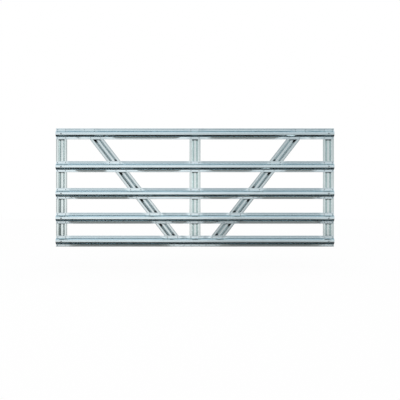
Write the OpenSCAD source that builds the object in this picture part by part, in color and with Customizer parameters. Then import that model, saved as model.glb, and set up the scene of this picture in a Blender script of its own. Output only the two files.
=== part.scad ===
// Five-bar field gate leaf of roll-formed galvanised sheet steel.
// Rails run along X in front of the seam plane Y = 0, uprights and braces stand behind it, +Z is up.
// The origin is under the middle of the bottom rail, at the lowest edge of the gate.

/* [Gate] */
// Length of the gate, which is the length of each rail
gate_length = 3048; // [2400:1:4900]
// Clear height between the bottom rail and the fourth rail
bottom_gap = 131; // [80:1:300]
// Clear height between the fourth rail and the middle rail
lower_gap = 149; // [80:1:300]
// Clear height between the middle rail and the second rail
upper_gap = 174; // [80:1:300]
// Clear height between the second rail and the top rail
top_gap = 238; // [80:1:400]

/* [Rails] */
// Height of one rail over its hemmed edges
rail_height = 121; // [110:1:180]
// Depth of one rail from the seam to the front of its ridge
rail_depth = 35; // [20:0.5:60]
// Thickness of the rail's sheet
rail_sheet = 1; // [0.6:0.1:2]
// Height of each flat lip, up to the corner of the ridge
rail_lip = 27; // [25:0.5:34]
// Height of the ridge's flat front face between its corners
rail_face = 26; // [22:0.5:40]
// Radius of the bends beside the lips, at the middle of the sheet
rail_lip_bend = 4; // [2:0.5:5]
// Radius of the bends beside the front face, at the middle of the sheet
rail_face_bend = 8; // [3:0.5:10]

/* [Uprights and braces] */
// Width of a channel over its hemmed edges
channel_width = 121; // [110:1:140]
// Depth of a channel from the seam to the back of its web
channel_depth = 35; // [20:0.5:60]
// Thickness of the channel's sheet
channel_sheet = 1.5; // [1:0.1:2.5]
// Width of each flat flange, up to the corner of the channel's wall
channel_flange = 27; // [25:0.5:34]
// Width of the channel's flat web between its corners
channel_web = 26; // [22:0.5:40]
// Radius of the bends beside the flanges, at the middle of the sheet
channel_flange_bend = 4; // [2.5:0.5:5]
// Radius of the bends beside the web, at the middle of the sheet
channel_web_bend = 8; // [3:0.5:10]
// Distance of a channel's ends from the top and bottom edges of the gate
channel_setback = 3; // [0:0.5:6]
// Distance of a brace's centre line from the gate's end, at the middle of the top rail
brace_top_inset = 400; // [260:1:700]
// Distance of a brace's centre line from the gate's middle, at the middle of the bottom rail
brace_foot_offset = 211; // [195:1:320]

/* [Hems] */
// Distance between the two layers of a hem, from the middle of one sheet to the middle of the other
hem_rise = 3.2; // [2.8:0.1:5]
// Length of a hem's returned leg, from the edge of the piece
hem_leg = 7; // [5:0.5:9]
// Radius of a hem's two bends, at the middle of the sheet
hem_bend = 1.3; // [1:0.1:1.5]

/* [Rivets] */
// Diameter of a rivet's shank
rivet_shank_d = 4.8; // [3:0.1:6]
// Gap all round between a shank and its holes
rivet_clearance = 0.1; // [0.05:0.05:0.4]
// Diameter of a rivet's domed head
rivet_head_d = 10; // [8:0.1:11]
// Height of a rivet's domed head
rivet_head_rise = 2.4; // [1:0.1:3]
// Diameter of a rivet's upset tail
rivet_tail_d = 8; // [7:0.1:9]
// Height of a rivet's upset tail
rivet_tail_rise = 2; // [1:0.1:3]
// Bevel round the end of a rivet's tail
rivet_tail_bevel = 0.5; // [0.2:0.1:0.9]
// Distance of the rivets from a rail's top and bottom edges
rivet_rail_inset = 16.5; // [15:0.5:18]
// Distance of the rivets from a channel's edges, square to the channel
rivet_channel_inset = 16; // [14:0.5:18]

/* [Bolt holes] */
// Diameter of the holes for hinge and latch bolts at both ends of every rail
bolt_hole_d = 14; // [8:0.5:16]

/* [Hidden] */
$fn = 48;
// Steps in each rounded bend of the sheet, and in the dome of a rivet
bend_steps = 6;
dome_steps = 5;
// How far a cutting tool runs past what it cuts
overcut = 1;

galvanised = "#c3ccd2";
galvanised_channel = "#b7c0c6";
rivet_zinc = "#9aa3a8";

rail_names = ["bottom_rail", "fourth_rail", "middle_rail", "second_rail", "top_rail"];
channel_names = ["left_upright", "left_brace", "centre_upright", "right_brace", "right_upright"];
rail_gaps = [bottom_gap, lower_gap, upper_gap, top_gap];
rail_count = len(rail_names);

// Height of the middle of a rail, counted from the bottom
function rail_z(index) =
    index == 0 ? rail_height / 2 : rail_z(index - 1) + rail_height + rail_gaps[index - 1];

rail_levels = [for (index = [0 : rail_count - 1]) rail_z(index)];
foot_z = rail_levels[0];
head_z = rail_levels[rail_count - 1];
gate_height = head_z + rail_height / 2;

// The end uprights stand flush with the ends of the rails
end_upright_x = gate_length / 2 - channel_width / 2;
brace_head_x = gate_length / 2 - brace_top_inset;
brace_slope = (brace_head_x - brace_foot_offset) / (head_z - foot_z);
brace_lean = atan(brace_slope);

// One channel is [x on its centre line at the middle of the bottom rail, run in x for each unit of height]
channel_lines = [
    [-end_upright_x, 0],
    [-brace_foot_offset, -brace_slope],
    [0, 0],
    [brace_foot_offset, brace_slope],
    [end_upright_x, 0]
];

function channel_x(line, z) = line[0] + line[1] * (z - foot_z);
function channel_lean(line) = atan(line[1]);

rivet_rows = [-1, 1] * (rail_height / 2 - rivet_rail_inset);
rivet_spread = channel_width / 2 - rivet_channel_inset;
rivet_hole_d = rivet_shank_d + 2 * rivet_clearance;

// The four rivet places [x, z] where a rail crosses a channel
function crossing(level, line) = [
    for (row = rivet_rows)
    for (side = [-1, 1])
    let (z = level + row)
    [channel_x(line, z) + side * rivet_spread / cos(channel_lean(line)), z]
];

function unit(v) = v / norm(v);
function left_of(v) = [-v.y, v.x];
function turned(v, angle) = [v.x * cos(angle) - v.y * sin(angle), v.x * sin(angle) + v.y * cos(angle)];

// Points and left normals along one rounded bend of a sheet
function bend(before, corner, after, radius) =
    let (
        way_in = unit(corner - before),
        way_out = unit(after - corner),
        turn = atan2(cross(way_in, way_out), way_in * way_out),
        side = sign(turn),
        start = corner - way_in * radius * tan(abs(turn) / 2),
        centre = start + left_of(way_in) * side * radius
    )
    [
        for (step = [0 : bend_steps])
        let (normal = turned(left_of(way_in), turn * step / bend_steps))
        [centre - normal * side * radius, normal]
    ];

// Outline of a bent sheet, from the corners and bend radii of the line along its middle
function bent_sheet(corners, radii, sheet) =
    let (
        last = len(corners) - 1,
        first_normal = left_of(unit(corners[1] - corners[0])),
        last_normal = left_of(unit(corners[last] - corners[last - 1])),
        stations = [
            [corners[0], first_normal],
            for (i = [1 : last - 1])
            each bend(corners[i - 1], corners[i], corners[i + 1], radii[i]),
            [corners[last], last_normal]
        ],
        count = len(stations)
    )
    [
        for (i = [0 : count - 1]) stations[i][0] + stations[i][1] * sheet / 2,
        for (i = [count - 1 : -1 : 0]) stations[i][0] - stations[i][1] * sheet / 2
    ];

// Section of a ridge between two hemmed lips: X is the height of the ridge, Y runs across from edge to edge
module ridge_section(width, depth, sheet, lip, crown, lip_bend, crown_bend) {
    flat_x = sheet / 2;
    hem_x = flat_x + hem_rise;
    crown_x = depth - sheet / 2;
    crown_y = (width - crown) / 2;
    lower = [[hem_x, hem_leg], [hem_x, sheet / 2], [flat_x, sheet / 2], [flat_x, lip], [crown_x, crown_y]];
    lower_radii = [0, hem_bend, hem_bend, lip_bend, crown_bend];
    last = len(lower) - 1;
    upper = [for (i = [last : -1 : 0]) [lower[i].x, width - lower[i].y]];
    upper_radii = [for (i = [last : -1 : 0]) lower_radii[i]];
    polygon(bent_sheet(concat(lower, upper), concat(lower_radii, upper_radii), sheet));
}

module rivet_holes(places) {
    for (place = places)
    translate([place.x, -rail_sheet - overcut, place.y])
    rotate([-90, 0, 0])
    cylinder(d = rivet_hole_d, h = rail_sheet + channel_sheet + 2 * overcut);
}

// Through the ridge of a rail and the web of the upright behind it
module bolt_hole(x, z) {
    translate([x, -rail_depth - overcut, z])
    rotate([-90, 0, 0])
    cylinder(d = bolt_hole_d, h = rail_depth + channel_depth + 2 * overcut);
}

module rail(level) {
    color(galvanised)
    difference() {
        translate([0, 0, level - rail_height / 2])
        rotate([90, 0, -90])
        linear_extrude(gate_length, center = true)
        ridge_section(
            rail_height, rail_depth, rail_sheet, rail_lip, rail_face, rail_lip_bend, rail_face_bend
        );
        for (line = channel_lines) rivet_holes(crossing(level, line));
        for (side = [-1, 1]) bolt_hole(side * end_upright_x, level);
    }
}

// A straight length of channel, centred on the origin and standing along Z
module channel(length) {
    rotate([0, 0, 90])
    translate([0, -channel_width / 2])
    linear_extrude(length, center = true)
    ridge_section(
        channel_width, channel_depth, channel_sheet,
        channel_flange, channel_web, channel_flange_bend, channel_web_bend
    );
}

module channel_rivet_holes(line) {
    for (level = rail_levels) rivet_holes(crossing(level, line));
}

module upright(line) {
    color(galvanised_channel)
    difference() {
        translate([line[0], 0, gate_height / 2]) channel(gate_height - 2 * channel_setback);
        channel_rivet_holes(line);
        if (abs(line[0]) == end_upright_x)
        for (level = rail_levels) bolt_hole(line[0], level);
    }
}

// A leaning channel whose ends are cut level, at the height of the uprights' ends
module brace(line) {
    length = gate_height / cos(brace_lean) + channel_width * tan(brace_lean);
    reach = gate_length + gate_height;
    color(galvanised_channel)
    difference() {
        intersection() {
            translate([channel_x(line, gate_height / 2), 0, gate_height / 2])
            rotate([0, channel_lean(line), 0])
            channel(length);
            translate([-reach / 2, -overcut, channel_setback])
            cube([reach, channel_depth + 2 * overcut, gate_height - 2 * channel_setback]);
        }
        channel_rivet_holes(line);
    }
}

module stiffener(line) {
    if (line[1] == 0) upright(line);
    else brace(line);
}

// Half section of a rivet: X is the radius, Y runs from the top of the head to the end of the tail
module rivet_section() {
    grip = rail_sheet + channel_sheet;
    head_r = rivet_head_d / 2;
    dome_r = (head_r * head_r + rivet_head_rise * rivet_head_rise) / (2 * rivet_head_rise);
    dome_angle = asin(head_r / dome_r);
    polygon([
        for (step = [0 : dome_steps])
        let (angle = dome_angle * step / dome_steps)
        [dome_r * sin(angle), dome_r * (1 - cos(angle)) - rivet_head_rise],
        [rivet_shank_d / 2, 0],
        [rivet_shank_d / 2, grip],
        [rivet_tail_d / 2, grip],
        [rivet_tail_d / 2, grip + rivet_tail_rise - rivet_tail_bevel],
        [rivet_tail_d / 2 - rivet_tail_bevel, grip + rivet_tail_rise],
        [0, grip + rivet_tail_rise]
    ]);
}

// The four rivets of one crossing, heads in front of the rail's lips and tails behind the flanges
module rivets(level, line) {
    color(rivet_zinc)
    for (place = crossing(level, line))
    translate([place.x, -rail_sheet, place.y])
    rotate([-90, 0, 0])
    rotate_extrude()
    rivet_section();
}

function rivet_group(rail_name, channel_name) = str(rail_name, "_", channel_name, "_rivets");

for (i = [0 : rail_count - 1])
rail(rail_levels[i]);

for (i = [0 : len(channel_names) - 1])
stiffener(channel_lines[i]);

for (i = [0 : rail_count - 1])
for (j = [0 : len(channel_names) - 1])
rivets(rail_levels[i], channel_lines[j]);
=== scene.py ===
"""Dresses the field gate: folded galvanised sheet and rivets round the packed frame, in a plain studio."""

import math

import bmesh
import bpy
from bpy.props import FloatProperty, FloatVectorProperty, PointerProperty
from mathutils import Matrix, Vector


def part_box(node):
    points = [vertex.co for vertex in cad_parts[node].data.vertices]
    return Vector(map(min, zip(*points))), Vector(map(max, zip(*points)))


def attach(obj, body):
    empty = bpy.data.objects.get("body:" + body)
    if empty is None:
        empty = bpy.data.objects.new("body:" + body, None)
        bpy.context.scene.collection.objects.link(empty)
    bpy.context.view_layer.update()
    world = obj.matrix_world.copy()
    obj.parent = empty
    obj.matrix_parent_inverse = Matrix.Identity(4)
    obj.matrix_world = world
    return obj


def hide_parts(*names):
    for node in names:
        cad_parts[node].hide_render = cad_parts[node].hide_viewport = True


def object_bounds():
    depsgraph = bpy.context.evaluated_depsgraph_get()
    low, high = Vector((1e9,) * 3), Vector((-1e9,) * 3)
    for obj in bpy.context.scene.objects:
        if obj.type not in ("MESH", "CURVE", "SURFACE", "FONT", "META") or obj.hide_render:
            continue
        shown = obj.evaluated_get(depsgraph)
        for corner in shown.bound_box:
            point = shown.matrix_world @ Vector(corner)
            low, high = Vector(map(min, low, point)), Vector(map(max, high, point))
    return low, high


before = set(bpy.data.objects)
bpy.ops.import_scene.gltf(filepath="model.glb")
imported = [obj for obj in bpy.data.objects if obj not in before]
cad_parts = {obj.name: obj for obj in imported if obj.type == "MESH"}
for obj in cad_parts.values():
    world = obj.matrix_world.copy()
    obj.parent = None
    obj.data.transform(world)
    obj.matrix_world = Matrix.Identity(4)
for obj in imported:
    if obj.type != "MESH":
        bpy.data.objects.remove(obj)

bl_info = {
    "name": "Field gate",
    "version": (1, 0, 0),
    "blender": (4, 5, 0),
    "location": "3D View > Sidebar > Field gate",
    "description": "Builds a five-bar gate of folded galvanised sheet, its rivets and a studio",
    "category": "Add Mesh",
}

CAD_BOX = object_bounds()
NODE_BOXES = {node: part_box(node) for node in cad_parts}
BODY = "root"

RAILS = ("bottom_rail", "fourth_rail", "middle_rail", "second_rail", "top_rail")
UPRIGHTS = ("left_upright", "centre_upright", "right_upright")
BRACES = ("left_brace", "right_brace")
CHANNELS = UPRIGHTS + BRACES
END_UPRIGHTS = ("left_upright", "right_upright")

# Painted shade on a channel's walls, at the foot and at the top of the gate, standing for the dark
# reflections in its recess
WALL_SHADE_PAINT = {"left_upright": (0.62, 0.12), "left_brace": (0.08, 0.2), "right_brace": (0.0, 0.08)}
UNSHADED_WALLS = (0.0, 0.0)
# Portion of the painted shade (the painted shadow line beside a hem's leg) along a channel's hems and along
# a rail's lower hem, where it is less than full
HEM_SHADE_PAINT = {"left_brace": 0.6, "centre_upright": 0.4, "right_brace": 0.6, "right_upright": 0.3}
LOWER_HEM_SHADE_PAINT = {"bottom_rail": 0.2, "fourth_rail": 0.3, "middle_rail": 0.3}
# Factors on the spring of a rail's upper lip, and of its lower lip in the bay right of a channel
UPPER_SPRING = {"bottom_rail": 1.4, "fourth_rail": 1.4}
LOWER_SPRING = {
    ("bottom_rail", "left_upright"): 0.92,
    ("bottom_rail", "right_brace"): 0.92,
    ("middle_rail", "left_brace"): 0.0,
    ("second_rail", "left_upright"): 1.12,
    ("top_rail", "left_upright"): 1.35,
    ("top_rail", "left_brace"): 1.25,
    ("top_rail", "centre_upright"): 1.4,
    ("top_rail", "right_brace"): 1.35,
}

RAIL_SLOT = "galvanised_rail"
CHANNEL_SLOT = "galvanised_channel"
RIVET_SLOT = "zinc_rivet"

BEND_STEPS = 6
HOLE_SIDES = 24
RIVET_SIDES = 12
DOME_STEPS = 4
SHARP_ANGLE = math.radians(35)
FLAT_TOLERANCE = 1e-4
MERGE_DISTANCE = 1e-6
ORDER_DIGITS = 5
SHADE_PAINT_ATTRIBUTE = "shade_paint"
LIP_CURL = 0.4

# Look of the zinc: noise per metre, shares of the tone and relief
STREAKS_ACROSS = 120
CLOUDS = 5.0
NOISE_DETAIL = 3.0
NOISE_SPAN = (0.3, 0.7)
ROUGHNESS_SPAN = (0.1, 0.9)
STREAK_SHARE = 0.35
CLOUD_SHARE = 0.35
GRAIN_SHARE = 0.3
RIPPLE_STRENGTH = 0.12
RIPPLE_HEIGHT = 0.0004
GRAIN_RELIEF = 0.03

# Studio: places in metres, strengths of the cards and watts of the lamp
FLOOR_REACH = 20
CARD_LIFT = 0.01
GROUND_REACH = 4
REAR_REACH = 3
APRON_END = -3.6
GROUND_START = -3.2
GROUND_FADE = (-0.2, -0.46)
GROUND_END = 0.3
REAR_FADE = (0.3, 0.6)
REAR_END = 0.95
REAR_APRON_END = 1.6
FLAG_REACH = 1.7
UPPER_FLAG = (-0.43, -0.165, 0.515)
LOWER_FLAG = (-0.35, -0.14, 0.245)
SKY_LOW = (-7, -1.5, 4)
SKY_HIGH = (7, 8, 4)
SKY_FADE = (-0.3, 1.0)
FRONT_REACH = 10
FRONT_PLACE = -10
FRONT_TOP = 2
FRONT_FADE = (-0.4, 1.2)
BROW_TOP = 6
BROW_FADE = (-2.6, 0.6)
LOW_PLACE = -4
LOW_LEFT_SPAN = (-2.1, 0)
LOW_LEFT_TOP = 0
LOW_LEFT_STRENGTH = 1.25
LOW_RIGHT_SPAN = (0.2, 2.0)
LOW_RIGHT_TOP = 0.32
SIDE_PLACE = 5
SIDE_TOP = 2.5
LEFT_SPAN = (-4, -0.8)
LEFT_FADE = (-1.95, -2.55)
LEFT_STRENGTH = 2.4
RIGHT_SPAN = (-4, -1)
RIGHT_FADE = (-2.8, -2.5)
HIGH_SPAN = (-6.5, -1.5)
HIGH_TOP = 7
KEY_PLACE = (-2.0, -4.5, 3.2)
KEY_AIM = (0, 0, 0.6)
KEY_SIZE = (3.0, 1.5)
KEY_POWER = 12


# Sizes and colours that a user would change

def length(name, description, default):
    return FloatProperty(
        name=name, description=description, default=default, precision=4, subtype="DISTANCE", unit="LENGTH"
    )


def angle(name, description, degrees):
    return FloatProperty(
        name=name, description=description, default=math.radians(degrees), subtype="ANGLE", unit="ROTATION"
    )


def colour(name, description, default):
    return FloatVectorProperty(
        name=name, description=description, default=default, size=3, min=0.0, max=1.0, subtype="COLOR"
    )


def share(name, description, default):
    return FloatProperty(
        name=name, description=description, default=default, min=0.0, max=1.0, subtype="FACTOR"
    )


class GateRailSizes(bpy.types.PropertyGroup):
    """Folds of a rail"""

    sheet: length("Sheet", "Thickness of the rail's sheet", 0.001)
    lip: length("Lip", "Height of each flat lip, up to the corner of the ridge", 0.027)
    crown: length("Face", "Height of the ridge's front face between its corners", 0.026)
    lip_bend: length("Lip bend", "Radius of the bends beside the lips", 0.004)
    crown_bend: length("Face bend", "Radius of the bends beside the front face", 0.008)
    lower_spring: angle("Lower lip spring", "How far a free lower lip turns to face the ground", 12)
    upper_spring: angle("Upper lip spring", "How far a free upper lip turns to face the sky", 7.5)
    lower_run: length("Lower run", "Distance from a channel at which a lower lip has sprung fully", 0.16)
    upper_run: length("Upper run", "Distance from a channel at which an upper lip has sprung fully", 0.05)
    station: length("Station", "Longest stretch of rail between two rows of vertices", 0.02)


class GateChannelSizes(bpy.types.PropertyGroup):
    """Folds of an upright or a brace"""

    sheet: length("Sheet", "Thickness of the channel's sheet", 0.0015)
    width: length("Width", "Width of a channel over its hemmed edges", 0.121)
    lip: length("Flange", "Width of each flat flange, up to the corner of the wall", 0.027)
    crown: length("Web", "Width of the channel's web between its corners", 0.026)
    lip_bend: length("Flange bend", "Radius of the bends beside the flanges", 0.004)
    crown_bend: length("Web bend", "Radius of the bends beside the web", 0.008)
    station: length("Station", "Longest stretch of channel between two rows of vertices", 0.12)
    # Painted shade: how far below a rail the painted shadow in a channel reaches.
    shelter: length("Shelter", "How far below a rail the dark film in a channel reaches", 0.013)


class GateHemSizes(bpy.types.PropertyGroup):
    """Hems along the edges of rails and channels"""

    rise: length("Rise", "Distance between the two layers of a hem", 0.0032)
    leg: length("Leg", "Length of a hem's returned leg", 0.007)
    bend: length("Bend", "Radius of a hem's two bends", 0.0013)
    # Painted shade: where the painted shadow line along a hem fades out.
    shade: length("Shade", "Distance from the edge at which the dark film along a hem ends", 0.012)


class GateFastenerSizes(bpy.types.PropertyGroup):
    """Rivets and bolt holes"""

    shank: length("Shank", "Diameter of a rivet's shank", 0.0048)
    clearance: length("Clearance", "Gap all round between a shank and its holes", 0.0001)
    head: length("Head", "Diameter of a rivet's domed head", 0.010)
    head_rise: length("Head rise", "Height of a rivet's domed head", 0.0024)
    tail: length("Tail", "Diameter of a rivet's upset tail", 0.008)
    tail_rise: length("Tail rise", "Height of a rivet's upset tail", 0.002)
    tail_bevel: length("Tail bevel", "Bevel round the end of a rivet's tail", 0.0005)
    bolt_hole: length("Bolt hole", "Diameter of the holes for hinge and latch bolts", 0.014)
    cell: share("Cell", "Space round a hole, as a share of the hole's radius", 0.22)


class GateFinish(bpy.types.PropertyGroup):
    """Colours and grain of the zinc, and the colour of the painted shade"""

    rail_light: colour("Rail zinc", "Bright grains of the rails' zinc", (0.80, 0.91, 0.95))
    rail_dark: colour("Rail zinc, dark", "Dark grains of the rails' zinc", (0.70, 0.81, 0.85))
    channel_light: colour("Channel zinc", "Bright grains of the channels' zinc", (0.82, 0.90, 0.90))
    channel_dark: colour("Channel zinc, dark", "Dark grains of the channels' zinc", (0.68, 0.76, 0.76))
    brace_light: colour("Brace zinc", "Bright grains of the braces' zinc", (0.75, 0.83, 0.85))
    brace_dark: colour("Brace zinc, dark", "Dark grains of the braces' zinc", (0.62, 0.70, 0.72))
    # The rivets' zinc is darker than the sheet's: partly its own tone, partly painted shade standing for the
    # shadow below each head.
    rivet_light: colour("Rivet zinc", "Bright grains of the rivets' zinc", (0.36, 0.40, 0.42))
    rivet_dark: colour("Rivet zinc, dark", "Dark grains of the rivets' zinc", (0.22, 0.25, 0.26))
    # Painted shade: the colour that the painted shadows along the hems and in the channels blend towards.
    painted_shade: colour("Grime", "Dark film along the hems and behind the rails", (0.06, 0.07, 0.07))
    # Painted shade: how dark the painted shadow line beside a hem is.
    hem_painted_shade: share("Hem grime", "How far the film covers the sheet beside a hem", 0.45)
    # Painted shade: how dark the painted shadow in a channel behind and below the rails is.
    shelter_painted_shade: share("Shelter grime", "How far the film covers a channel behind the rails", 0.9)
    spangle: length("Spangle", "Width of one grain of zinc", 0.005)
    streak: length("Streak", "Length of one streak of the rolls", 0.5)
    polish: share("Polish", "Roughness of the smoothest grains", 0.15)
    dullness: share("Dullness", "Roughness of the dullest grains", 0.23)


class GateStudio(bpy.types.PropertyGroup):
    """Floor, cards, lamps and camera"""

    floor: colour("Floor", "Colour of the floor", (0.92, 0.92, 0.92))
    floor_lift: share("Floor lift", "How far the floor is lifted to white where it is seen", 0.9)
    floor_drop: length("Floor drop", "Height of the hung gate above the floor", 0.2)
    ground_near: colour("Ground card, near", "What the lower undersides mirror", (0.004, 0.005, 0.005))
    ground_rear: colour("Ground card, rear", "What the upper undersides mirror", (0.022, 0.025, 0.025))
    ground_front: colour("Ground card, front", "What the free lower lips mirror", (0.28, 0.272, 0.255))
    sky_left: colour("Overhead card, left", "What upper slopes mirror at the left", (0.61, 0.73, 0.80))
    sky_right: colour("Overhead card, right", "What upper slopes mirror at the right", (0.45, 0.56, 0.62))
    front_left: colour("Front card, left", "What the flat faces mirror at the left", (1.0, 1.0, 1.0))
    front_right: colour("Front card, right", "What the flat faces mirror at the right", (0.76, 0.78, 0.79))
    front_low: colour("Low front card", "What the lower faces mirror at the right", (0.52, 0.54, 0.55))
    brow_left: colour("Brow card, left", "What the upper lips mirror at the left", (0.70, 0.74, 0.76))
    brow_right: colour("Brow card, right", "What the upper lips mirror at the right", (0.47, 0.51, 0.53))
    side_dark: colour("Side cards, near", "Dark part of the side cards, near the gate", (0.03, 0.035, 0.035))
    side_left: colour("Left card", "What the left walls of the uprights mirror", (1.0, 1.0, 1.0))
    side_right: colour("Right card", "What the right walls of the uprights mirror", (0.45, 0.50, 0.52))
    side_high: colour("High side cards", "What the walls of the braces mirror", (0.08, 0.09, 0.10))
    camera_distance: length("Camera distance", "Distance of the camera from the seam plane", 8.0)
    camera_side: length("Camera side", "Place of the camera along the gate", 0.055)
    camera_height: length("Camera height", "Height of the camera above the gate's lowest edge", 0.5115)
    view_width: length("View width", "Width of the view at the seam plane", 4.388)


# Places taken from the frame

def crossing(rail, channel):
    """Where a channel's centre line meets a rail's: the middle of their rivets, on the seam plane."""
    low, high = NODE_BOXES[f"{rail}_{channel}_rivets"]
    return Vector(((low.x + high.x) / 2, 0, (low.z + high.z) / 2))


def lean(channel):
    """Angle of a channel from upright, in the plane of the gate."""
    run = crossing(RAILS[-1], channel) - crossing(RAILS[0], channel)
    return math.atan2(run.x, run.z)


def rivet_places(rail, channel, fasteners):
    """The four rivets of a crossing, on the seam plane."""
    low, high = NODE_BOXES[f"{rail}_{UPRIGHTS[1]}_rivets"]
    spread = (high.x - low.x - fasteners.head) / 2
    row = (high.z - low.z - fasteners.head) / 2
    centre = crossing(rail, channel)
    slant = lean(channel)
    return [
        Vector((
            centre.x + up * row * math.tan(slant) + side * spread / math.cos(slant),
            0,
            centre.z + up * row,
        ))
        for up in (-1, 1)
        for side in (-1, 1)
    ]


# Folded sheet

def verts_of(geometry):
    return [part for part in geometry if isinstance(part, bmesh.types.BMVert)]


def hole_sizes(fasteners):
    """Radius and half cell of a rivet's hole, then of a bolt hole."""
    rivet = fasteners.shank / 2 + fasteners.clearance
    bolt = fasteners.bolt_hole / 2
    room = 1 + fasteners.cell
    return rivet, rivet * room, bolt, bolt * room


def ridge_corners(width, depth, folds, hem, row, cell):
    """Corners (across, rise, bend radius) of a ridged sheet's middle line, from hem to hem.

    Two corners without a bend stand either side of the row of rivets in each lip.
    """
    flat = folds.sheet / 2
    near = [
        (hem.leg, flat + hem.rise, 0),
        (flat, flat + hem.rise, hem.bend),
        (flat, flat, hem.bend),
        # The corners at the leg's end and at the shade's end carry the painted shade along the hem.
        (hem.leg, flat, 0),
        (hem.shade, flat, 0),
        (row - cell, flat, 0),
        (row + cell, flat, 0),
        (folds.lip, flat, folds.lip_bend),
        ((width - folds.crown) / 2, depth - flat, folds.crown_bend),
    ]
    far = [(width - across, rise, bend) for across, rise, bend in reversed(near)]
    return near + far


def rounded_section(corners, start):
    """A wire along the section at X = start: rise is towards -Y and across is along Z."""
    bm = bmesh.new()
    verts = [bm.verts.new((start, -rise, across)) for across, rise, bend in corners]
    for pair in zip(verts, verts[1:]):
        bm.edges.new(pair)
    turns = []
    for before, vert, after in zip(verts, verts[1:], verts[2:]):
        turns.append((vert.co - before.co).angle(after.co - vert.co))
    for vert, turn, corner in zip(verts[1:], turns, corners[1:]):
        bend = corner[2]
        if bend:
            bmesh.ops.bevel(
                bm, geom=[vert], offset=bend * math.tan(turn / 2), offset_type="OFFSET",
                segments=BEND_STEPS, profile=0.5, affect="VERTICES", material=-1,
            )
    return bm


def stations(start, end, punches, longest):
    """Places along a sheet for its rows of vertices: both sides of every hole, and no stretch too long."""
    edges = {run + side * cell for run, *rest, cell in punches for side in (-1, 1)}
    marks = sorted({start, end, *edges})
    rows = [start]
    for mark in marks[1:]:
        stretch = mark - rows[-1]
        steps = max(1, math.ceil(stretch / longest))
        first = rows[-1]
        rows += [first + stretch * step / steps for step in range(1, steps + 1)]
    return rows


def paint_hem_shade(bm, width, hem, finish, near, far):
    """Writes painted shade along a section's two hems, standing for the shadow line beside each hem's leg:
    full beside the leg, then fading.
    """
    shade_paint = bm.verts.layers.float.new(SHADE_PAINT_ATTRIBUTE)
    for vert in bm.verts:
        inset = min(vert.co.z, width - vert.co.z)
        on_leg = inset <= hem.leg and -vert.co.y > hem.rise / 2
        fade = (hem.shade - inset) / (hem.shade - hem.leg)
        portion = near if vert.co.z < width / 2 else far
        vert[shade_paint] = 0 if on_leg else portion * finish.hem_painted_shade * min(max(fade, 0), 1)


def sweep(bm, rows):
    """Draws the wire section out along X, row by row."""
    edges = bm.edges[:]
    for here, there in zip(rows, rows[1:]):
        swept = bmesh.ops.extrude_edge_only(bm, edges=edges)["geom"]
        bmesh.ops.translate(bm, verts=verts_of(swept), vec=(there - here, 0, 0))
        edges = [part for part in swept if isinstance(part, bmesh.types.BMEdge)]
    bmesh.ops.recalc_face_normals(bm, faces=bm.faces[:])
    if sum(face.normal.y * face.calc_area() for face in bm.faces) > 0:
        bmesh.ops.reverse_faces(bm, faces=bm.faces[:])


def punch(bm, punches):
    """Makes each round hole in the cell of the sheet that lies at its (run, across)."""
    level = [(face, face.calc_center_bounds()) for face in bm.faces if face.normal.y < -1 + FLAT_TOLERANCE]
    to_front = Matrix.Rotation(math.pi / 2, 4, "X")
    for run, across, radius, sides, room in punches:
        cell, centre = min(level, key=lambda pair: abs(pair[1].x - run) + abs(pair[1].z - across))
        if abs(centre.x - run) + abs(centre.z - across) > radius:
            raise RuntimeError(f"No flat place for the hole at {run:.4f}, {across:.4f}")
        rim = cell.edges[:]
        bmesh.ops.delete(bm, geom=[cell], context="FACES_ONLY")
        level.remove((cell, centre))
        circle = bmesh.ops.create_circle(bm, segments=sides, radius=radius, matrix=to_front)["verts"]
        bmesh.ops.translate(bm, verts=circle, vec=centre)
        ring = list({edge for vert in circle for edge in vert.link_edges})
        collar = bmesh.ops.bridge_loops(bm, edges=rim + ring)["faces"]
        turned = [face for face in collar if face.normal.y > 0]
        bmesh.ops.reverse_faces(bm, faces=turned)


def thicken(bm, sheet):
    """Gives the middle surface its thickness, half to each side."""
    bm.normal_update()
    for vert in bm.verts:
        vert.co += vert.normal * vert.calc_shell_factor() * sheet / 2
    bmesh.ops.solidify(bm, geom=bm.faces[:], thickness=sheet)


def settle_order(bm):
    """Orders a mesh by place, because the order that operators leave differs from run to run."""
    def place(part):
        verts = getattr(part, "verts", (part,))
        middle = sum((vert.co for vert in verts), Vector()) / len(verts)
        return middle.to_tuple(ORDER_DIGITS)

    for parts in (bm.verts, bm.edges, bm.faces):
        for rank, part in enumerate(sorted(parts, key=place)):
            part.index = rank
        parts.sort()


def finished_object(bm, name, material, slot, *nodes):
    """The mesh as a piece that rides on the gate and stands for its nodes."""
    settle_order(bm)
    mesh = bpy.data.meshes.new(name)
    bm.to_mesh(mesh)
    bm.free()
    mesh.shade_smooth()
    mesh.set_sharp_from_angle(angle=SHARP_ANGLE)
    mesh.materials.append(material)
    piece = bpy.data.objects.new(name, mesh)
    bpy.context.scene.collection.objects.link(piece)
    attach(piece, BODY)
    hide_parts(*nodes)
    return piece


def weighted_normals(piece):
    """Keeps the flats of a folded sheet flat in shading."""
    modifier = piece.modifiers.new("Flat shading", "WEIGHTED_NORMAL")
    modifier.keep_sharp = True


# Rails

def sprung(distance, run):
    """Share of its full spring that a lip has at a distance from the nearest channel."""
    way = min(max(distance / run, 0), 1)
    return way * way * (3 - 2 * way)


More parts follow.
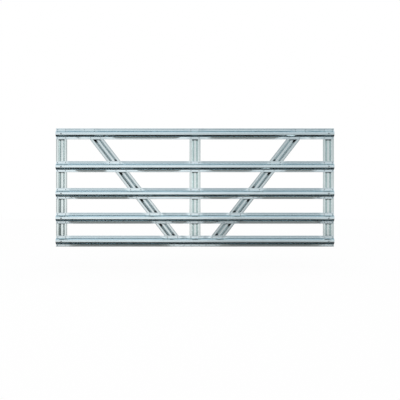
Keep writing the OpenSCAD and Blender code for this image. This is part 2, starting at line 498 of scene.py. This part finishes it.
def spring_lips(bm, height, sizes, rests, upper_ease):
    """Turns the free lips of a rail a little behind the seam plane, between the channels that hold them."""
    def bow(depth, spring):
        return math.tan(spring) * depth * (1 + LIP_CURL * (1 - depth / sizes.lip))

    for vert in bm.verts:
        rise = vert.co.z - height / 2
        free = min(abs(vert.co.x - place - slope * rise) - half for place, slope, half, ease in rests)
        below = sizes.lip - vert.co.z
        above = vert.co.z - (height - sizes.lip)
        if below > 0:
            bays = [ease for place, slope, half, ease in rests if place <= vert.co.x]
            spring = sizes.lower_spring * (bays[-1] if bays else 1)
            vert.co.y += sprung(free, sizes.lower_run) * bow(below, spring)
        elif above > 0:
            vert.co.y += sprung(free, sizes.upper_run) * bow(above, sizes.upper_spring * upper_ease)


def build_rail(rail, scene, material):
    sizes = scene.gate_rails
    channels = scene.gate_channels
    fasteners = scene.gate_fasteners
    low, high = NODE_BOXES[rail]
    height = high.z - low.z
    hole, hole_cell, bolt, bolt_cell = hole_sizes(fasteners)
    row = rivet_places(rail, UPRIGHTS[1], fasteners)[0].z - low.z
    punches = []
    rests = []
    for channel in CHANNELS:
        slant = lean(channel)
        half = channels.width / 2 / math.cos(slant)
        ease = LOWER_SPRING.get((rail, channel), 1)
        rests.append((crossing(rail, channel).x, math.tan(slant), half, ease))
        for place in rivet_places(rail, channel, fasteners):
            punches.append((place.x, place.z - low.z, hole, RIVET_SIDES, hole_cell))
    for channel in END_UPRIGHTS:
        punches.append((crossing(rail, channel).x, height / 2, bolt, HOLE_SIDES, bolt_cell))
    corners = ridge_corners(height, high.y - low.y, sizes, scene.gate_hems, row, hole_cell)
    bm = rounded_section(corners, low.x)
    # Paints shade along both hems, less along the lower hem of some rails.
    paint_hem_shade(bm, height, scene.gate_hems, scene.gate_finish, LOWER_HEM_SHADE_PAINT.get(rail, 1), 1)
    sweep(bm, stations(low.x, high.x, punches, sizes.station))
    punch(bm, punches)
    spring_lips(bm, height, sizes, sorted(rests), UPPER_SPRING.get(rail, 1))
    bmesh.ops.translate(bm, verts=bm.verts[:], vec=(0, high.y, low.z))
    thicken(bm, sizes.sheet)
    piece = finished_object(bm, f"{rail}_sheet", material, RAIL_SLOT, rail)
    weighted_normals(piece)


# Uprights and braces

def channel_placing(channel):
    """From a sheet lying along X to its place in the gate: run goes up the channel and rise goes to +Y."""
    slant = lean(channel)
    run = Vector((math.sin(slant), 0, math.cos(slant)))
    back = Vector((0, 1, 0))
    across = run.cross(-back)
    turn = Matrix((run, -back, across)).transposed().to_4x4()
    return Matrix.Translation(crossing(RAILS[0], channel)) @ turn


def whole(bm):
    return bm.verts[:] + bm.edges[:] + bm.faces[:]


def paint_shelter_shade(bm, to_sheet, sizes, finish, at_foot, at_top):
    """Writes painted shade in a channel: dark reflections painted on its walls, and the shadow painted
    behind and just below the rails.
    """
    reach = sizes.width / 2 - sizes.lip
    top = CAD_BOX[1][2]
    bands = [(NODE_BOXES[rail][0].z, NODE_BOXES[rail][1].z) for rail in RAILS]
    for low, high in bands:
        for level in (low - sizes.shelter, low, high - sizes.shelter, high):
            bmesh.ops.bisect_plane(bm, geom=whole(bm), plane_co=(0, 0, level), plane_no=(0, 0, 1))
    shade_paint = bm.verts.layers.float[SHADE_PAINT_ATTRIBUTE]
    for vert in bm.verts:
        across = abs((to_sheet @ vert.co).z)
        if across < reach:
            wall = at_foot + (at_top - at_foot) * vert.co.z / top if across > sizes.crown / 2 else 0
            depths = (min(vert.co.z - low + sizes.shelter, high - vert.co.z) for low, high in bands)
            shelter = finish.shelter_painted_shade * min(max(max(depths) / sizes.shelter, 0), 1)
            vert[shade_paint] = max(wall, shelter)


def unshade_back(bm, to_sheet, sizes):
    """Takes the painted shade off the outer side of a channel's web and walls."""
    reach = sizes.width / 2 - sizes.lip
    shade_paint = bm.verts.layers.float[SHADE_PAINT_ATTRIBUTE]
    bm.normal_update()
    for vert in bm.verts:
        if vert.normal.y > 0 and abs((to_sheet @ vert.co).z) < reach:
            vert[shade_paint] = 0


def build_channel(channel, scene, material):
    sizes = scene.gate_channels
    fasteners = scene.gate_fasteners
    low, high = NODE_BOXES[channel]
    placing = channel_placing(channel)
    to_sheet = placing.inverted()
    half = sizes.width / 2
    hole, hole_cell, bolt, bolt_cell = hole_sizes(fasteners)
    punches = []
    for rail in RAILS:
        for place in rivet_places(rail, channel, fasteners):
            at = to_sheet @ place
            punches.append((at.x, at.z + half, hole, RIVET_SIDES, hole_cell))
        if channel in END_UPRIGHTS:
            at = to_sheet @ crossing(rail, channel)
            punches.append((at.x, half, bolt, HOLE_SIDES, bolt_cell))
    row = min(across for run, across, *rest in punches)
    overrun = half * abs(math.tan(lean(channel)))
    foot = placing.translation.z
    start = (low.z - foot) / math.cos(lean(channel)) - overrun
    end = (high.z - foot) / math.cos(lean(channel)) + overrun
    corners = ridge_corners(sizes.width, high.y - low.y, sizes, scene.gate_hems, row, hole_cell)
    bm = rounded_section(corners, start)
    # Painted shade along this channel's hems, less on some channels.
    shade_paint = HEM_SHADE_PAINT.get(channel, 1)
    paint_hem_shade(bm, sizes.width, scene.gate_hems, scene.gate_finish, shade_paint, shade_paint)
    sweep(bm, stations(start, end, punches, sizes.station))
    punch(bm, punches)
    bmesh.ops.translate(bm, verts=bm.verts[:], vec=(0, 0, -half))
    bmesh.ops.transform(bm, matrix=placing, verts=bm.verts[:])
    for level, way in ((low.z, -1), (high.z, 1)):
        bmesh.ops.bisect_plane(
            bm, geom=whole(bm), plane_co=(0, 0, level), plane_no=(0, 0, way), clear_outer=True
        )
    # Paints shade on the channel's walls and behind and below the rails.
    paint_shelter_shade(bm, to_sheet, sizes, scene.gate_finish, *WALL_SHADE_PAINT.get(channel, UNSHADED_WALLS))
    thicken(bm, sizes.sheet)
    unshade_back(bm, to_sheet, sizes)
    piece = finished_object(bm, f"{channel}_channel", material, CHANNEL_SLOT, channel)
    weighted_normals(piece)


# Rivets

def rivet_mesh(fasteners, rail_sheet, channel_sheet):
    """One rivet on the seam plane: its head in front of the lip and its tail behind the flange."""
    bm = bmesh.new()
    head = fasteners.head / 2
    rise = fasteners.head_rise
    dome = (head * head + rise * rise) / (2 * rise)
    sweep_angle = math.asin(head / dome)
    shank = fasteners.shank / 2
    tail = fasteners.tail / 2
    end = channel_sheet + fasteners.tail_rise
    profile = []
    for step in range(DOME_STEPS + 1):
        turn = sweep_angle * step / DOME_STEPS
        profile.append((dome * math.sin(turn), dome * (1 - math.cos(turn)) - rise - rail_sheet))
    profile += [
        (shank, -rail_sheet),
        (shank, channel_sheet),
        (tail, channel_sheet),
        (tail, end - fasteners.tail_bevel),
        (tail - fasteners.tail_bevel, end),
        (0, end),
    ]
    verts = [bm.verts.new((radius, depth, 0)) for radius, depth in profile]
    edges = [bm.edges.new(pair) for pair in zip(verts, verts[1:])]
    bmesh.ops.spin(
        bm, geom=verts + edges, cent=(0, 0, 0), axis=(0, 1, 0),
        angle=math.tau, steps=RIVET_SIDES, use_merge=True,
    )
    bmesh.ops.remove_doubles(bm, verts=bm.verts[:], dist=MERGE_DISTANCE)
    bmesh.ops.recalc_face_normals(bm, faces=bm.faces[:])
    return bm


def build_rivets(rail, channel, scene, material):
    fasteners = scene.gate_fasteners
    bm = rivet_mesh(fasteners, scene.gate_rails.sheet, scene.gate_channels.sheet)
    first = whole(bm)
    places = rivet_places(rail, channel, fasteners)
    for place in places[1:]:
        copy = bmesh.ops.duplicate(bm, geom=first)["geom"]
        bmesh.ops.translate(bm, verts=verts_of(copy), vec=place)
    bmesh.ops.translate(bm, verts=verts_of(first), vec=places[0])
    node = f"{rail}_{channel}_rivets"
    finished_object(bm, f"{node}_zinc", material, RIVET_SLOT, node)


# Materials

def add_node(tree, kind, **settings):
    node = tree.nodes.new(kind)
    for name, value in settings.items():
        setattr(node, name, value)
    return node


def noise_texture(tree, vector, scale, detail):
    node = add_node(tree, "ShaderNodeTexNoise")
    node.inputs["Scale"].default_value = scale
    node.inputs["Detail"].default_value = detail
    tree.links.new(vector, node.inputs["Vector"])
    return node.outputs["Fac"]


def remap(tree, value, from_low, from_high, to_low, to_high):
    node = add_node(tree, "ShaderNodeMapRange", clamp=True)
    for name, number in (
        ("From Min", from_low), ("From Max", from_high), ("To Min", to_low), ("To Max", to_high)
    ):
        node.inputs[name].default_value = number
    tree.links.new(value, node.inputs["Value"])
    return node.outputs["Result"]


def combine(tree, operation, first, second):
    node = add_node(tree, "ShaderNodeMath", operation=operation)
    for socket, value in zip(node.inputs, (first, second)):
        if isinstance(value, float):
            socket.default_value = value
        else:
            tree.links.new(value, socket)
    return node.outputs["Value"]


def blend_colours(tree, factor, first, second):
    node = add_node(tree, "ShaderNodeMix", data_type="RGBA")
    tree.links.new(factor, node.inputs["Factor"])
    sockets = [socket for socket in node.inputs if socket.type == "RGBA"]
    for socket, value in zip(sockets, (first, second)):
        if isinstance(value, bpy.types.NodeSocket):
            tree.links.new(value, socket)
        else:
            socket.default_value = (*value, 1)
    return next(socket for socket in node.outputs if socket.type == "RGBA")


def galvanised(name, finish, light, dark, slant):
    """Zinc on sheet steel: spangled grains, streaks of the rolls along the run, clouds, and the painted
    shade from the mesh attribute.
    """
    material = bpy.data.materials.new(name)
    material.use_nodes = True
    tree = material.node_tree
    shader = tree.nodes["Principled BSDF"]
    shader.inputs["Metallic"].default_value = 1.0
    place = add_node(tree, "ShaderNodeTexCoord").outputs["Object"]

    grains = add_node(tree, "ShaderNodeTexVoronoi")
    grains.inputs["Scale"].default_value = 1 / finish.spangle
    tree.links.new(place, grains.inputs["Vector"])
    split = add_node(tree, "ShaderNodeSeparateColor")
    tree.links.new(grains.outputs["Color"], split.inputs["Color"])
    grain = split.outputs["Red"]

    along = add_node(tree, "ShaderNodeMapping")
    along.inputs["Rotation"].default_value = (0, slant, 0)
    along.inputs["Scale"].default_value = (1 / finish.streak, STREAKS_ACROSS, STREAKS_ACROSS)
    tree.links.new(place, along.inputs["Vector"])
    streaks = noise_texture(tree, along.outputs["Vector"], 1.0, NOISE_DETAIL)
    clouds = noise_texture(tree, place, CLOUDS, NOISE_DETAIL)

    streak_tone = combine(tree, "MULTIPLY", remap(tree, streaks, *NOISE_SPAN, 0.0, 1.0), STREAK_SHARE)
    cloud_tone = combine(tree, "MULTIPLY", remap(tree, clouds, *NOISE_SPAN, 0.0, 1.0), CLOUD_SHARE)
    grain_tone = combine(tree, "MULTIPLY", grain, GRAIN_SHARE)
    tone = combine(tree, "ADD", combine(tree, "ADD", streak_tone, cloud_tone), grain_tone)
    zinc = blend_colours(tree, tone, dark, light)
    # Painted shade: the attribute blends the zinc towards the painted-shade colour.
    shade_paint = add_node(tree, "ShaderNodeAttribute", attribute_name=SHADE_PAINT_ATTRIBUTE).outputs["Fac"]
    tree.links.new(blend_colours(tree, shade_paint, zinc, finish.painted_shade), shader.inputs["Base Color"])

    roughness = remap(tree, tone, *ROUGHNESS_SPAN, finish.dullness, finish.polish)
    tree.links.new(roughness, shader.inputs["Roughness"])

    ripple = add_node(tree, "ShaderNodeBump")
    ripple.inputs["Strength"].default_value = RIPPLE_STRENGTH
    ripple.inputs["Distance"].default_value = RIPPLE_HEIGHT
    height = combine(tree, "ADD", clouds, combine(tree, "MULTIPLY", grain, GRAIN_RELIEF))
    tree.links.new(height, ripple.inputs["Height"])
    tree.links.new(ripple.outputs["Normal"], shader.inputs["Normal"])
    return material


# Studio

def glow_material(name, strength):
    """A glowing material and its emission node, whose colour is still to be set."""
    material = bpy.data.materials.new(name)
    material.use_nodes = True
    tree = material.node_tree
    tree.nodes.remove(tree.nodes["Principled BSDF"])
    glow = add_node(tree, "ShaderNodeEmission")
    glow.inputs["Strength"].default_value = strength
    tree.links.new(glow.outputs["Emission"], tree.nodes["Material Output"].inputs["Surface"])
    return material, glow


def plain_glow(name, shade, strength=1.0):
    material, glow = glow_material(name, strength)
    glow.inputs["Color"].default_value = (*shade, 1)
    return material


def fading_glow(name, first, second, axis, fade, strength=1.0):
    """A glow that goes from one colour to the other between two places along X, Y or Z."""
    material, glow = glow_material(name, strength)
    tree = material.node_tree
    place = add_node(tree, "ShaderNodeTexCoord").outputs["Object"]
    split = add_node(tree, "ShaderNodeSeparateXYZ")
    tree.links.new(place, split.inputs["Vector"])
    way = remap(tree, split.outputs[axis], *fade, 0.0, 1.0)
    tree.links.new(blend_colours(tree, way, first, second), glow.inputs["Color"])
    return material


def flag_shade(name, shade):
    """A dark card that is clear from below."""
    material, glow = glow_material(name, 1.0)
    glow.inputs["Color"].default_value = (*shade, 1)
    tree = material.node_tree
    clear = add_node(tree, "ShaderNodeBsdfTransparent")
    side = add_node(tree, "ShaderNodeNewGeometry").outputs["Backfacing"]
    mix = add_node(tree, "ShaderNodeMixShader")
    tree.links.new(side, mix.inputs["Fac"])
    tree.links.new(glow.outputs["Emission"], mix.inputs[1])
    tree.links.new(clear.outputs["BSDF"], mix.inputs[2])
    tree.links.new(mix.outputs["Shader"], tree.nodes["Material Output"].inputs["Surface"])
    return material


def studio_sheet(name, low, high, material):
    """A flat sheet of the studio between two opposite corners, which share one coordinate."""
    low, high = Vector(low), Vector(high)
    flat = min(range(3), key=lambda axis: abs(high[axis] - low[axis]))
    first, second = [axis for axis in range(3) if axis != flat]
    side = low.copy()
    side[first] = high[first]
    shift = Vector()
    shift[second] = high[second] - low[second]
    bm = bmesh.new()
    edge = bm.edges.new((bm.verts.new(low), bm.verts.new(side)))
    swept = bmesh.ops.extrude_edge_only(bm, edges=[edge])["geom"]
    bmesh.ops.translate(bm, verts=verts_of(swept), vec=shift)
    bm.normal_update()
    bmesh.ops.reverse_faces(bm, faces=[face for face in bm.faces if face.normal.z < 0])
    mesh = bpy.data.meshes.new(name)
    bm.to_mesh(mesh)
    bm.free()
    mesh.materials.append(material)
    sheet = bpy.data.objects.new(name, mesh)
    bpy.context.scene.collection.objects.link(sheet)
    return sheet


def mirror_card(name, low, high, glow):
    """A card that only the metal's reflections show."""
    card = studio_sheet(name, low, high, glow)
    card.visible_camera = False
    card.visible_diffuse = False
    card.visible_shadow = False
    card.visible_transmission = False
    card.visible_volume_scatter = False


def ground_cards(studio, level):
    """Cards just above the floor: dark under the gate, paler before and behind it."""
    def strip(name, reach, start, end, first, second, fade):
        glow = fading_glow(name, first, second, "Y", fade)
        mirror_card(name, (-reach, start, level), (reach, end, level), glow)

    near, front, rear, white = studio.ground_near, studio.ground_front, studio.ground_rear, studio.front_left
    strip("ground_card", GROUND_REACH, GROUND_START, GROUND_END, near, front, GROUND_FADE)
    strip("rear_card", REAR_REACH, GROUND_END, REAR_END, near, rear, REAR_FADE)
    strip("rear_apron_card", REAR_REACH, REAR_END, REAR_APRON_END, rear, white, (REAR_END, REAR_APRON_END))
    strip("apron_card", GROUND_REACH, APRON_END, GROUND_START, front, white, (GROUND_START, APRON_END))


def flag_cards(studio):
    """Dark cards before the gate that only the undersides of the rails above them mirror."""
    shade = flag_shade("flag_card", studio.ground_near)
    for name, (start, end, height) in (("upper_flag", UPPER_FLAG), ("lower_flag", LOWER_FLAG)):
        mirror_card(name, (-FLAG_REACH, start, height), (FLAG_REACH, end, height), shade)


def overhead_card(studio):
    glow = fading_glow("overhead_card", studio.sky_left, studio.sky_right, "X", SKY_FADE)
    mirror_card("overhead_card", SKY_LOW, SKY_HIGH, glow)


def front_cards(studio, level):
    """Cards that face the gate: far ones for its faces and lips, near ones for its lowest faces."""
    def wall(name, span, place, bottom, top, glow):
        mirror_card(name, (span[0], place, bottom), (span[1], place, top), glow)

    wide = (-FRONT_REACH, FRONT_REACH)
    front = fading_glow("front_card", studio.front_left, studio.front_right, "X", FRONT_FADE)
    wall("front_card", wide, FRONT_PLACE, level, FRONT_TOP, front)
    low_left = plain_glow("low_left_card", studio.front_left, LOW_LEFT_STRENGTH)
    wall("low_left_card", LOW_LEFT_SPAN, LOW_PLACE, level, LOW_LEFT_TOP, low_left)
    low_right = plain_glow("low_right_card", studio.front_low)
    wall("low_right_card", LOW_RIGHT_SPAN, LOW_PLACE, level, LOW_RIGHT_TOP, low_right)
    brow = fading_glow("brow_card", studio.brow_left, studio.brow_right, "X", BROW_FADE)
    wall("brow_card", wide, FRONT_PLACE, FRONT_TOP, BROW_TOP, brow)


def side_cards(studio, level):
    """Cards left and right of the gate that the walls of its channels mirror."""
    def wall(name, place, span, bottom, top, glow):
        mirror_card(name, (place, span[0], bottom), (place, span[1], top), glow)

    left = fading_glow("left_card", studio.side_dark, studio.side_left, "Y", LEFT_FADE, LEFT_STRENGTH)
    wall("left_card", -SIDE_PLACE, LEFT_SPAN, level, SIDE_TOP, left)
    right = fading_glow("right_card", studio.side_right, studio.side_dark, "Y", RIGHT_FADE)
    wall("right_card", SIDE_PLACE, RIGHT_SPAN, level, SIDE_TOP, right)
    high = plain_glow("high_card", studio.side_high)
    for place in (-SIDE_PLACE, SIDE_PLACE):
        wall("high_card", place, HIGH_SPAN, SIDE_TOP, HIGH_TOP, high)


def softbox(name, place, aim, size, power):
    data = bpy.data.lights.new(name, "AREA")
    data.shape = "RECTANGLE"
    data.size, data.size_y = size
    data.energy = power
    lamp = bpy.data.objects.new(name, data)
    lamp.location = place
    lamp.rotation_euler = (Vector(aim) - Vector(place)).to_track_quat("-Z", "Y").to_euler()
    lamp.visible_glossy = False
    bpy.context.scene.collection.objects.link(lamp)


def white_world():
    world = bpy.data.worlds.new("studio_white")
    bpy.context.scene.world = world
    world.use_nodes = True
    backdrop = world.node_tree.nodes["Background"]
    backdrop.inputs["Color"].default_value = (1, 1, 1, 1)
    backdrop.inputs["Strength"].default_value = 1.0


def floor_material(studio):
    """Pale floor that the camera and the metal see as white, apart from the gate's shadow."""
    material = bpy.data.materials.new("studio_floor")
    material.use_nodes = True
    tree = material.node_tree
    shader = tree.nodes["Principled BSDF"]
    shader.inputs["Base Color"].default_value = (*studio.floor, 1)
    shader.inputs["Roughness"].default_value = 1.0
    shader.inputs["Specular IOR Level"].default_value = 0.0
    path = add_node(tree, "ShaderNodeLightPath")
    seen = combine(tree, "ADD", path.outputs["Is Camera Ray"], path.outputs["Is Glossy Ray"])
    seen = combine(tree, "ADD", seen, path.outputs["Is Transmission Ray"])
    lift = combine(tree, "MULTIPLY", seen, studio.floor_lift)
    white = add_node(tree, "ShaderNodeEmission")
    mix = add_node(tree, "ShaderNodeMixShader")
    tree.links.new(lift, mix.inputs["Fac"])
    tree.links.new(shader.outputs["BSDF"], mix.inputs[1])
    tree.links.new(white.outputs["Emission"], mix.inputs[2])
    tree.links.new(mix.outputs["Shader"], tree.nodes["Material Output"].inputs["Surface"])
    return material


def set_camera(studio):
    data = bpy.data.cameras.new("front_view")
    data.sensor_width = 36.0
    data.lens = data.sensor_width * studio.camera_distance / studio.view_width
    camera = bpy.data.objects.new("front_view", data)
    camera.location = (studio.camera_side, -studio.camera_distance, studio.camera_height)
    camera.rotation_euler = (math.pi / 2, 0, 0)
    bpy.context.scene.collection.objects.link(camera)
    bpy.context.scene.camera = camera


# Operators

class GATE_OT_rails(bpy.types.Operator):
    """Fold the five rails, spring their free lips and punch their holes"""

    bl_idname = "field_gate.rails"
    bl_label = "Rails"

    def execute(self, context):
        finish = context.scene.gate_finish
        material = galvanised(RAIL_SLOT, finish, finish.rail_light, finish.rail_dark, 0)
        for rail in RAILS:
            build_rail(rail, context.scene, material)
        return {"FINISHED"}


class GATE_OT_uprights(bpy.types.Operator):
    """Fold the three uprights and punch their holes"""

    bl_idname = "field_gate.uprights"
    bl_label = "Uprights"

    def execute(self, context):
        finish = context.scene.gate_finish
        material = galvanised(CHANNEL_SLOT, finish, finish.channel_light, finish.channel_dark, math.pi / 2)
        for upright in UPRIGHTS:
            build_channel(upright, context.scene, material)
        return {"FINISHED"}


class GATE_OT_braces(bpy.types.Operator):
    """Fold the two braces, cut their ends level and punch their holes"""

    bl_idname = "field_gate.braces"
    bl_label = "Braces"

    def execute(self, context):
        finish = context.scene.gate_finish
        for brace in BRACES:
            slant = math.pi / 2 - lean(brace)
            material = galvanised(
                f"{CHANNEL_SLOT}_{brace}", finish, finish.brace_light, finish.brace_dark, slant
            )
            build_channel(brace, context.scene, material)
        return {"FINISHED"}


class GATE_OT_rivets(bpy.types.Operator):
    """Set four rivets at every crossing of a rail and a channel"""

    bl_idname = "field_gate.rivets"
    bl_label = "Rivets"

    def execute(self, context):
        finish = context.scene.gate_finish
        material = galvanised(RIVET_SLOT, finish, finish.rivet_light, finish.rivet_dark, 0)
        for rail in RAILS:
            for channel in CHANNELS:
                build_rivets(rail, channel, context.scene, material)
        return {"FINISHED"}


class GATE_OT_studio(bpy.types.Operator):
    """Lay the floor, hang the cards and lamps, and set the camera"""

    bl_idname = "field_gate.studio"
    bl_label = "Studio"

    def execute(self, context):
        studio = context.scene.gate_studio
        context.scene.view_settings.view_transform = "Standard"
        white_world()
        floor = CAD_BOX[0][2] - studio.floor_drop
        low, high = (-FLOOR_REACH, -FLOOR_REACH, floor), (FLOOR_REACH, FLOOR_REACH, floor)
        studio_sheet("floor", low, high, floor_material(studio))
        ground_cards(studio, floor + CARD_LIFT)
        flag_cards(studio)
        overhead_card(studio)
        front_cards(studio, floor + CARD_LIFT)
        side_cards(studio, floor + CARD_LIFT)
        softbox("key_softbox", KEY_PLACE, KEY_AIM, KEY_SIZE, KEY_POWER)
        set_camera(studio)
        return {"FINISHED"}


class GATE_PT_sidebar(bpy.types.Panel):
    """Lists the gate's operators and sizes"""

    bl_idname = "GATE_PT_sidebar"
    bl_label = "Field gate"
    bl_space_type = "VIEW_3D"
    bl_region_type = "UI"
    bl_category = "Field gate"

    def draw(self, context):
        for operator in OPERATORS:
            self.layout.operator(operator.bl_idname)
        for name, kind in GROUPS.items():
            box = self.layout.box()
            box.label(text=kind.__doc__)
            group = getattr(context.scene, name)
            for field in kind.__annotations__:
                box.prop(group, field)


GROUPS = {
    "gate_rails": GateRailSizes,
    "gate_channels": GateChannelSizes,
    "gate_hems": GateHemSizes,
    "gate_fasteners": GateFastenerSizes,
    "gate_finish": GateFinish,
    "gate_studio": GateStudio,
}
OPERATORS = (GATE_OT_rails, GATE_OT_uprights, GATE_OT_braces, GATE_OT_rivets, GATE_OT_studio)


def register():
    for kind in (*GROUPS.values(), *OPERATORS, GATE_PT_sidebar):
        bpy.utils.register_class(kind)
    for name, kind in GROUPS.items():
        setattr(bpy.types.Scene, name, PointerProperty(type=kind))


def unregister():
    for name in GROUPS:
        delattr(bpy.types.Scene, name)
    for kind in (GATE_PT_sidebar, *reversed(OPERATORS), *reversed(GROUPS.values())):
        bpy.utils.unregister_class(kind)


def main():
    register()
    bpy.ops.field_gate.rails()
    bpy.ops.field_gate.uprights()
    bpy.ops.field_gate.braces()
    bpy.ops.field_gate.rivets()
    bpy.ops.field_gate.studio()


if __name__ == "__main__":
    main()
